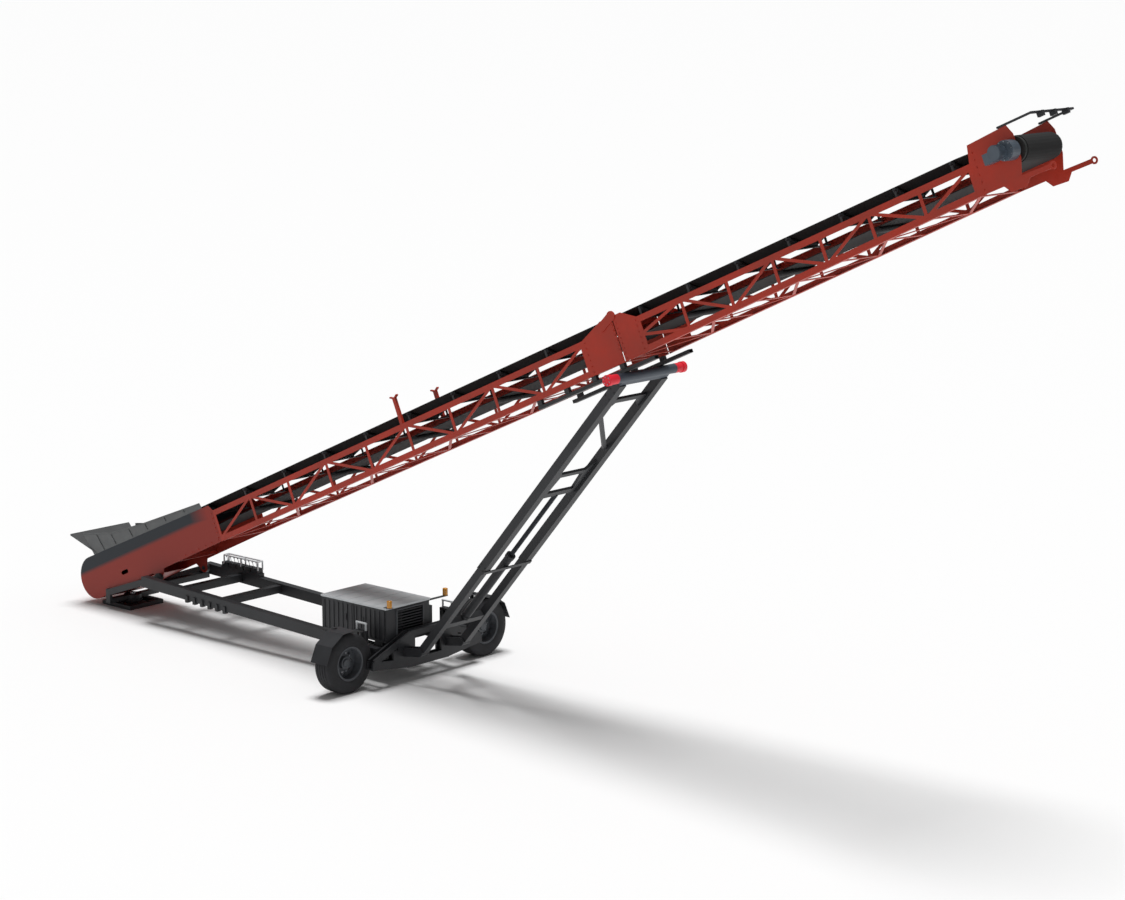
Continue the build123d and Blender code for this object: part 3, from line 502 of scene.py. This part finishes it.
pack = {"x0": 6.32, "x1": 7.94, "y0": -0.86, "y1": 0.22, "z0": 0.74, "top": 1.336, "lid": 1.37}
seam = {"wide": 0.03, "thick": 0.006, "out": 0.014, "fromCorner": 0.04, "end": 0.03, "foot": 0.03,
        "head": 0.02}
grille = {"y0": -0.60, "y1": 0.06, "z0": 0.80, "z1": 1.29, "wide": 0.03, "thick": 0.02, "out": 0.004,
          "lap": 0.01}
fold = {"shares": (0.2, 0.4, 0.6, 0.8), "end": 0.03, "rise": 0.003}
doorHandle = {"places": (6.95, 7.38), "z0": 1.0, "z1": 1.12, "wide": 0.02, "thick": 0.012,
              "out": 0.022}

seams = bmesh.new()
seamY = pack["y0"] - seam["out"]
seamFoot = pack["z0"] + seam["foot"]
seamHead = pack["top"] - seam["head"]
middleX = (pack["x0"] + pack["x1"]) / 2
for x in (pack["x0"] + seam["fromCorner"], middleX, pack["x1"] - seam["fromCorner"]):
    addBar(seams, (x, seamY, seamFoot), (x, seamY, seamHead), seam["wide"], seam["thick"], (1, 0, 0))
for z in (seamFoot, seamHead):
    addBar(seams, (pack["x0"] + seam["end"], seamY, z), (pack["x1"] - seam["end"], seamY, z), seam["wide"],
           seam["thick"], (0, 0, 1))
makePiece("housing_seams", seams, housingPowder, "chassis")

surround = bmesh.new()
frameX = pack["x1"] + grille["out"]
for y in (grille["y0"], grille["y1"]):
    addBar(surround, (frameX, y, grille["z0"]), (frameX, y, grille["z1"]), grille["wide"], grille["thick"],
           (1, 0, 0))
for z in (grille["z0"], grille["z1"]):
    addBar(surround, (frameX, grille["y0"] - grille["lap"], z), (frameX, grille["y1"] + grille["lap"], z),
           grille["wide"], grille["thick"], (1, 0, 0))
makePiece("grille_frame", surround, wheelEnamel, "chassis")

folds = bmesh.new()
foldZ = pack["lid"] + fold["rise"]
for share in fold["shares"]:
    x = pack["x0"] + share * (pack["x1"] - pack["x0"])
    addBar(folds, (x, pack["y0"] + fold["end"], foldZ), (x, pack["y1"] - fold["end"], foldZ), seam["wide"],
           seam["thick"], (1, 0, 0))
makePiece("lid_folds", folds, lidPowderPaintedLight, "chassis")

handles = bmesh.new()
handleY = pack["y0"] - doorHandle["out"]
for x in doorHandle["places"]:
    addBar(handles, (x, handleY, doorHandle["z0"]), (x, handleY, doorHandle["z1"]), doorHandle["wide"],
           doorHandle["thick"], (1, 0, 0))
makePiece("housing_handles", handles, housingPowder, "chassis")
print("power pack detailed")

# Rims of the road wheels: the curled lips and the hub caps

rimTrim = {"seat": 0.2858, "lip": 0.306, "half": 0.1625, "curl": 0.012, "deep": 0.010, "thick": 0.004,
           "back": 0.006, "inside": 0.002, "steps": 72}
# The cap's outline stops half a millimetre short of the axle's line
hubCap = {"radius": 0.075, "face": 0.07, "out": 0.03, "axle": 0.0005, "steps": 40}


def lipOutline(across, way):
    seat = rimTrim["seat"]
    lip = rimTrim["lip"]
    curl = rimTrim["curl"]
    thick = rimTrim["thick"]
    back = across - way * rimTrim["back"]
    front = across + way * thick
    return [(seat - rimTrim["deep"], back), (seat - rimTrim["deep"], front), (seat + thick, front),
            (lip - thick, across + way * (curl + thick)), (lip, across + way * curl),
            (lip - thick, across + way * rimTrim["inside"]), (seat, back)]


def capOutline():
    radius = hubCap["radius"]
    face = hubCap["face"]
    out = hubCap["out"]
    return [(hubCap["axle"], face), (radius, face), (radius, face + out * 0.5),
            (radius * 0.85, face + out * 0.9), (hubCap["axle"], face + out)]


for side, way in (("right", -1), ("left", 1)):
    centre = wheelCentre(way)
    for edge, turn in (("inner", -1), ("outer", 1)):
        ring = spinOutline(lipOutline(turn * rimTrim["half"], turn), centre, rimTrim["steps"])
        lip = makePiece("rim_lip_" + edge + "_" + side, ring, wheelEnamel, "wheel_" + side)
        shadeSmooth(lip)
    cap = spinOutline(capOutline(), centre, hubCap["steps"])
    shadeSmooth(makePiece("hub_cap_" + side, cap, wheelEnamel, "wheel_" + side))
print("rims trimmed")

# Valve bank: spool levers with knobs on the left beam, under a guard of three hoops and two rails

lever = {"x0": 1.93, "pitch": 0.105, "count": 9, "y": 0.795, "z": 0.985, "lean": 0.03, "high": 0.13,
         "radius": 0.006, "knob": 0.018}
guard = {"hoops": (1.89, 2.37, 2.85), "half": 0.06, "z0": 0.97, "z1": 1.14, "radius": 0.016}

levers = bmesh.new()
for i in range(lever["count"]):
    foot = Vector((lever["x0"] + i * lever["pitch"], lever["y"], lever["z"]))
    top = foot + Vector((0, -lever["lean"], lever["high"]))
    addRod(levers, foot, top, lever["radius"])
    bmesh.ops.create_uvsphere(levers, u_segments=12, v_segments=8, radius=lever["knob"],
                              matrix=Matrix.Translation(top))
makePiece("valve_levers", levers, zincSteel, "chassis")

hoops = bmesh.new()
inner = lever["y"] - guard["half"]
outer = lever["y"] + guard["half"]
for x in guard["hoops"]:
    addRod(hoops, (x, inner, guard["z0"]), (x, inner, guard["z1"]), guard["radius"])
    addRod(hoops, (x, inner, guard["z1"]), (x, outer, guard["z1"]), guard["radius"])
    addRod(hoops, (x, outer, guard["z1"]), (x, outer, guard["z0"]), guard["radius"])
for y in (inner, outer):
    addRod(hoops, (guard["hoops"][0], y, guard["z1"]), (guard["hoops"][-1], y, guard["z1"]), guard["radius"])
makePiece("valve_guard", hoops, lidPowderPaintedLight, "chassis")
print("valve bank dressed")

# Beacons: round amber lenses over the plain ones

# The lens stops half a millimetre short of its own middle line
beacon = {"radius": 0.047, "height": 0.128, "middle": 0.0005, "steps": 32,
          "places": (("right", (7.985, -0.815, 1.378)), ("left", (7.905, 0.665, 1.33)))}


def lensOutline():
    radius = beacon["radius"]
    height = beacon["height"]
    return [(beacon["middle"], 0.0), (radius, 0.0), (radius, height * 0.94), (radius * 0.9, height * 0.985),
            (radius * 0.6, height * 1.02), (beacon["middle"], height * 1.03)]


for side, place in beacon["places"]:
    mesh = bmesh.new()
    outline = [mesh.verts.new((radius, 0.0, up)) for radius, up in lensOutline()]
    edges = [mesh.edges.new(pair) for pair in zip(outline, outline[1:])]
    bmesh.ops.spin(mesh, geom=outline + edges, cent=(0, 0, 0), axis=(0, 0, 1), angle=math.tau,
                   steps=beacon["steps"], use_merge=True)
    bmesh.ops.recalc_face_normals(mesh, faces=mesh.faces)
    bmesh.ops.translate(mesh, verts=mesh.verts, vec=place)
    shadeSmooth(makePiece("beacon_lens_" + side, mesh, lensMaterial, "chassis"))
print("beacons glazed")

# Legs: collars on the lift cylinder, bolts on the outer tubes and the caps, red sleeves at the beam's ends

legLine = {"foot": (8.5, 0.0, 0.62), "slope": math.radians(49.2567), "long": 7.0885, "y": 0.52,
           "half": 0.079}
collar = {"inner": 0.0755, "outer": 0.086, "steps": 40, "foot": (0.82, 0.88), "top": (2.44, 2.512)}
legBolt = {"along": (2.28, 2.36, 6.62, 6.78), "up": (-0.05, 0.05), "radius": 0.013, "height": 0.012}
capBolt = {"count": 6, "face": 0.96, "circle": 0.062, "radius": 0.010, "height": 0.009}
sleeve = {"y0": 0.72, "y1": 0.885, "radius": 0.0815, "segments": 40}


def legMatrix():
    return Matrix.Translation(legLine["foot"]) @ Matrix.Rotation(-legLine["slope"], 4, "Y")


# A point at d along the legs, y across them and up off their middle line
def legPoint(d, y, up):
    return legMatrix() @ Vector((d, y, up))


for where in ("foot", "top"):
    start, end = collar[where]
    outline = [(collar["inner"], start), (collar["outer"], start), (collar["outer"], end),
               (collar["inner"], end)]
    ring = spinOutline(outline, (0, 0, 0), collar["steps"])
    ring.transform(legMatrix())
    shadeSmooth(makePiece("lift_collar_" + where, ring, charcoalEnamel, "leg_lower"))

tubeBolts = bmesh.new()
for d in legBolt["along"]:
    for way in (-1, 1):
        for up in legBolt["up"]:
            point = legPoint(d, way * (legLine["y"] + legLine["half"]), up)
            addBolt(tubeBolts, point, (0, way, 0), legBolt["radius"], legBolt["height"])
makePiece("leg_bolts", tubeBolts, charcoalEnamel, "leg_upper")

capBolts = bmesh.new()
for way in (-1, 1):
    for i in range(capBolt["count"]):
        angle = math.tau * i / capBolt["count"]
        d = legLine["long"] + capBolt["circle"] * math.cos(angle)
        point = legPoint(d, way * capBolt["face"], capBolt["circle"] * math.sin(angle))
        addBolt(capBolts, point, (0, way, 0), capBolt["radius"], capBolt["height"])
makePiece("cap_bolts", capBolts, zincSteel, "leg_upper")

sleeves = bmesh.new()
for way in (-1, 1):
    addRod(sleeves, legPoint(legLine["long"], way * sleeve["y0"], 0.0),
           legPoint(legLine["long"], way * sleeve["y1"], 0.0), sleeve["radius"], sleeve["segments"])
shadeSmooth(makePiece("beam_sleeves", sleeves, capEnamelPaintedLight, "leg_upper"))
print("legs dressed")

# Head drum drive: cooling fins round the motor and the bolts of the gearbox's face that are clear of it

motorFin = {"s": 22.84, "y0": -0.93, "count": 7, "pitch": 0.022, "radius": 0.112, "thick": 0.006,
            "segments": 32}
gearBolt = {"s": 22.9, "face": -0.748, "count": 10, "circle": 0.13, "radius": 0.009, "height": 0.012,
            "clear": 0.01}

fins = bmesh.new()
for i in range(motorFin["count"]):
    start = boomPoint(motorFin["s"], motorFin["y0"] + i * motorFin["pitch"], 0.0)
    end = start + Vector((0, motorFin["thick"], 0))
    addRod(fins, start, end, motorFin["radius"], motorFin["segments"])
makePiece("motor_fins", fins, motorEnamel, "head")

gearBolts = bmesh.new()
for i in range(gearBolt["count"]):
    angle = math.tau * i / gearBolt["count"]
    s = gearBolt["s"] + gearBolt["circle"] * math.cos(angle)
    o = gearBolt["circle"] * math.sin(angle)
    if math.hypot(s - motorFin["s"], o) < motorFin["radius"] + gearBolt["clear"]:
        continue
    addBolt(gearBolts, boomPoint(s, gearBolt["face"], o), (0, -1, 0), gearBolt["radius"], gearBolt["height"])
makePiece("gearbox_bolts", gearBolts, zincSteel, "head")
print("drive dressed")

# Light tube hoops on the yokes of the wheel carriers, over the kingpins

hoop = {"x0": 7.44, "x1": 7.66, "y": 1.08, "foot": 0.94, "top": 1.09, "radius": 0.018, "segments": 16}
for side, way in (("right", -1), ("left", 1)):
    tubes = bmesh.new()
    y = way * hoop["y"]
    for x in (hoop["x0"], hoop["x1"]):
        addRod(tubes, (x, y, hoop["foot"]), (x, y, hoop["top"]), hoop["radius"], hoop["segments"])
    start = (hoop["x0"] - hoop["radius"], y, hoop["top"])
    end = (hoop["x1"] + hoop["radius"], y, hoop["top"])
    addRod(tubes, start, end, hoop["radius"], hoop["segments"])
    shadeSmooth(makePiece("carrier_hoop_" + side, tubes, lidPowderPaintedLight, "carrier_" + side))
print("carrier hoops made")

# Camera at the photograph's viewing angle

view = {"lens": 91.29, "sensor": 36.0, "far": 2000.0, "place": (42.606, -34.894, 13.431),
        "turn": (79.21, 0.0, 41.88)}

camera = bpy.data.cameras.new("camera")
camera.lens = view["lens"]
camera.sensor_width = view["sensor"]
camera.clip_end = view["far"]
cameraObject = bpy.data.objects.new("camera", camera)
cameraObject.location = view["place"]
cameraObject.rotation_euler = [math.radians(angle) for angle in view["turn"]]
bpy.context.scene.collection.objects.link(cameraObject)
bpy.context.scene.camera = cameraObject

# Studio: a pale floor just under the wheels, an even sky and one soft sun

studio = {"floorHalf": 900.0, "floorZ": -0.002, "floor": "F6F6F6", "floorRoughness": 0.9, "floorGloss": 0.1,
          "sky": 0.22, "sun": 2.75, "sunAngle": 26.0, "sunTurn": (-6.0, -4.0, 0.0)}

floorMesh = bmesh.new()
bmesh.ops.create_grid(floorMesh, x_segments=1, y_segments=1, size=studio["floorHalf"])
bmesh.ops.translate(floorMesh, verts=floorMesh.verts, vec=(0, 0, studio["floorZ"]))
floorData = bpy.data.meshes.new("floor")
floorMesh.to_mesh(floorData)
floorMesh.free()
# Matt white studio paper
floorMaterial, _, floorShader = newMaterial("paleFloor")
floorShader.inputs["Base Color"].default_value = fromHex(studio["floor"])
floorShader.inputs["Roughness"].default_value = studio["floorRoughness"]
floorShader.inputs["Specular IOR Level"].default_value = studio["floorGloss"]
floorData.materials.append(floorMaterial)
floorObject = bpy.data.objects.new("floor", floorData)
bpy.context.scene.collection.objects.link(floorObject)

world = bpy.data.worlds.new("studio")
world.use_nodes = True
background = world.node_tree.nodes["Background"]
background.inputs["Color"].default_value = (1.0, 1.0, 1.0, 1.0)
background.inputs["Strength"].default_value = studio["sky"]
bpy.context.scene.world = world

sun = bpy.data.lights.new("sun", "SUN")
sun.energy = studio["sun"]
sun.angle = math.radians(studio["sunAngle"])
sunObject = bpy.data.objects.new("sun", sun)
sunObject.rotation_euler = [math.radians(angle) for angle in studio["sunTurn"]]
bpy.context.scene.collection.objects.link(sunObject)
bpy.context.scene.view_settings.view_transform = "Standard"
print("studio lit")
